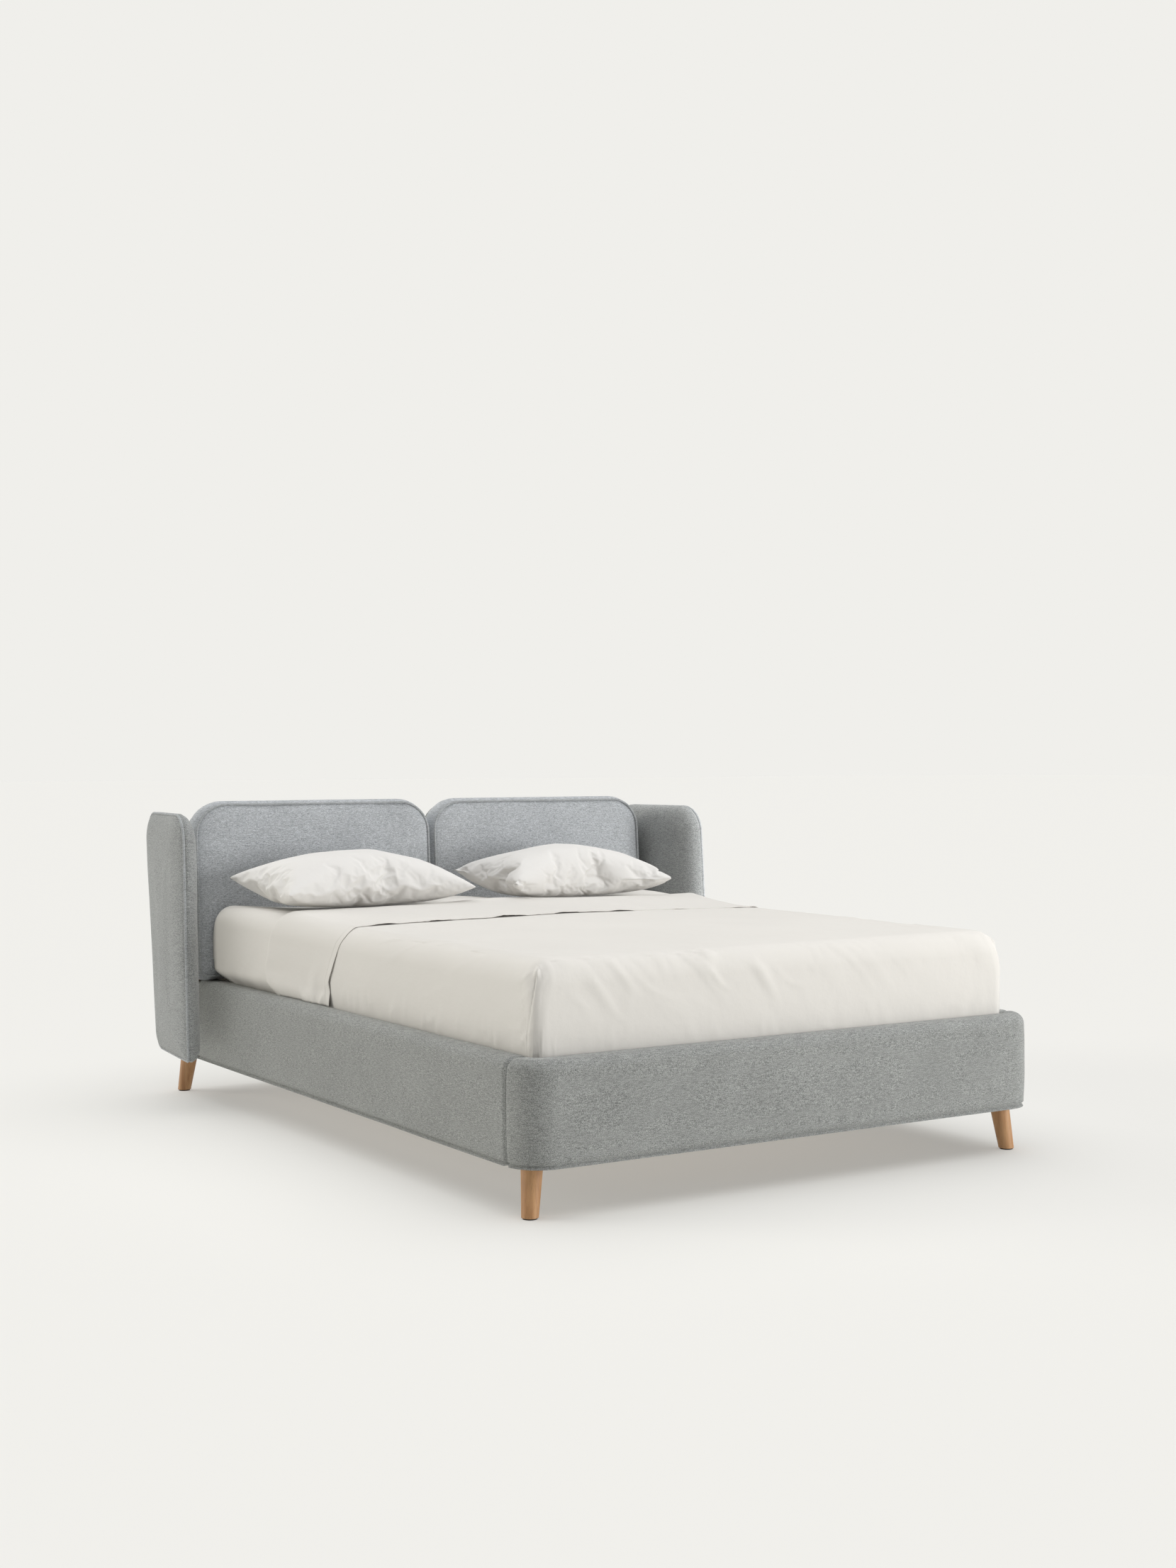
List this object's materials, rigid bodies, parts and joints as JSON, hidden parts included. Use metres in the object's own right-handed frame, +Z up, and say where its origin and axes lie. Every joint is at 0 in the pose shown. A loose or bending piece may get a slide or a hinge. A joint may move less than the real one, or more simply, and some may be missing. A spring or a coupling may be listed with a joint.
{
  "type": "upholstered winged double bed",
  "caption": "Upholstered double bed with a cushioned headboard between flared wings, padded rails on splayed wooden legs, dressed with mattress, sheets and pillows.",
  "frame": {"origin": "on the floor, under the centre of the whole bed", "axes": "+Z up, +Y from the foot towards the headboard, +X towards the right-hand side seen from the foot"},
  "size_m": [2.0862, 2.425, 1.015],
  "materials": {
    "rail_fabric": "heathered woven grey upholstery",
    "headboard_fabric": "heathered woven grey upholstery",
    "wing_fabric": "heathered woven grey upholstery",
    "piping_fabric": "heathered woven grey piping",
    "back_fabric": "heathered woven grey upholstery",
    "leg_wood": "satin pale wood",
    "board_wood": "raw plywood and pine",
    "slat_wood": "raw beech",
    "steel": "zinc plated",
    "plastic_feet": "matte black",
    "felt": "felt",
    "webbing": "woven tape",
    "mattress_ticking": "knitted ticking",
    "sheet_cotton": "soft washed cotton",
    "pillow_ticking": "cotton ticking",
    "pillow_cotton": "soft washed cotton"
  },
  "bodies": {
    "bed_frame": {"foot_rail_cover": "rail_fabric", "side_rail_cover_left": "rail_fabric", "side_rail_cover_right": "rail_fabric", "headboard_cushion_left": "headboard_fabric", "headboard_cushion_right": "headboard_fabric", "wing_cushion_left": "wing_fabric", "wing_cushion_right": "wing_fabric", "wing_outer_panel_left": "wing_fabric", "wing_outer_panel_right": "wing_fabric", "headboard_piping_left": "piping_fabric", "headboard_piping_right": "piping_fabric", "wing_piping_left": "piping_fabric", "wing_piping_right": "piping_fabric", "headboard_back_lining": "back_fabric", "headboard_board_left": "back_fabric", "headboard_board_right": "back_fabric", "wing_batten_left": "back_fabric", "wing_batten_right": "back_fabric", "leg_front_left": "leg_wood", "leg_front_right": "leg_wood", "leg_rear_left": "leg_wood", "leg_rear_right": "leg_wood", "side_rail_board_left": "board_wood", "side_rail_board_right": "board_wood", "foot_rail_board": "board_wood", "head_cross_rail": "board_wood", "headboard_rails": "board_wood", "corner_blocks": "board_wood", "centre_beam": "board_wood", "centre_legs": "board_wood", "headboard_post_left": "board_wood", "headboard_post_right": "board_wood", "wing_board_left": "board_wood", "wing_board_right": "board_wood", "slat_ledger_left": "board_wood", "slat_ledger_right": "board_wood", "slats": "slat_wood", "leg_plates": "steel", "leg_studs": "steel", "corner_bolts": "steel", "rail_joint_plates": "steel", "rail_joint_bolts": "steel", "wing_bolts": "steel", "beam_hangers": "steel", "centre_leg_feet": "plastic_feet", "leg_glides": "felt", "slat_straps": "webbing"},
    "mattress_body": {"mattress": "mattress_ticking", "fitted_sheet": "sheet_cotton", "top_sheet": "sheet_cotton"},
    "pillow_left_body": {"pillow_left": "pillow_ticking", "pillowcase_left": "pillow_cotton"},
    "pillow_right_body": {"pillow_right": "pillow_ticking", "pillowcase_right": "pillow_cotton"}
  },
  "joints": [
    {"name": "mattress_lift", "type": "slide", "parent": "bed_frame", "child": "mattress_body", "axis": [0, 0, 1], "range_m": [0, 0.5]},
    {"name": "pillow_left_lift", "type": "slide", "parent": "mattress_body", "child": "pillow_left_body", "axis": [0, 0, 1], "range_m": [0, 0.3]},
    {"name": "pillow_right_lift", "type": "slide", "parent": "mattress_body", "child": "pillow_right_body", "axis": [0, 0, 1], "range_m": [0, 0.3]}
  ]
}
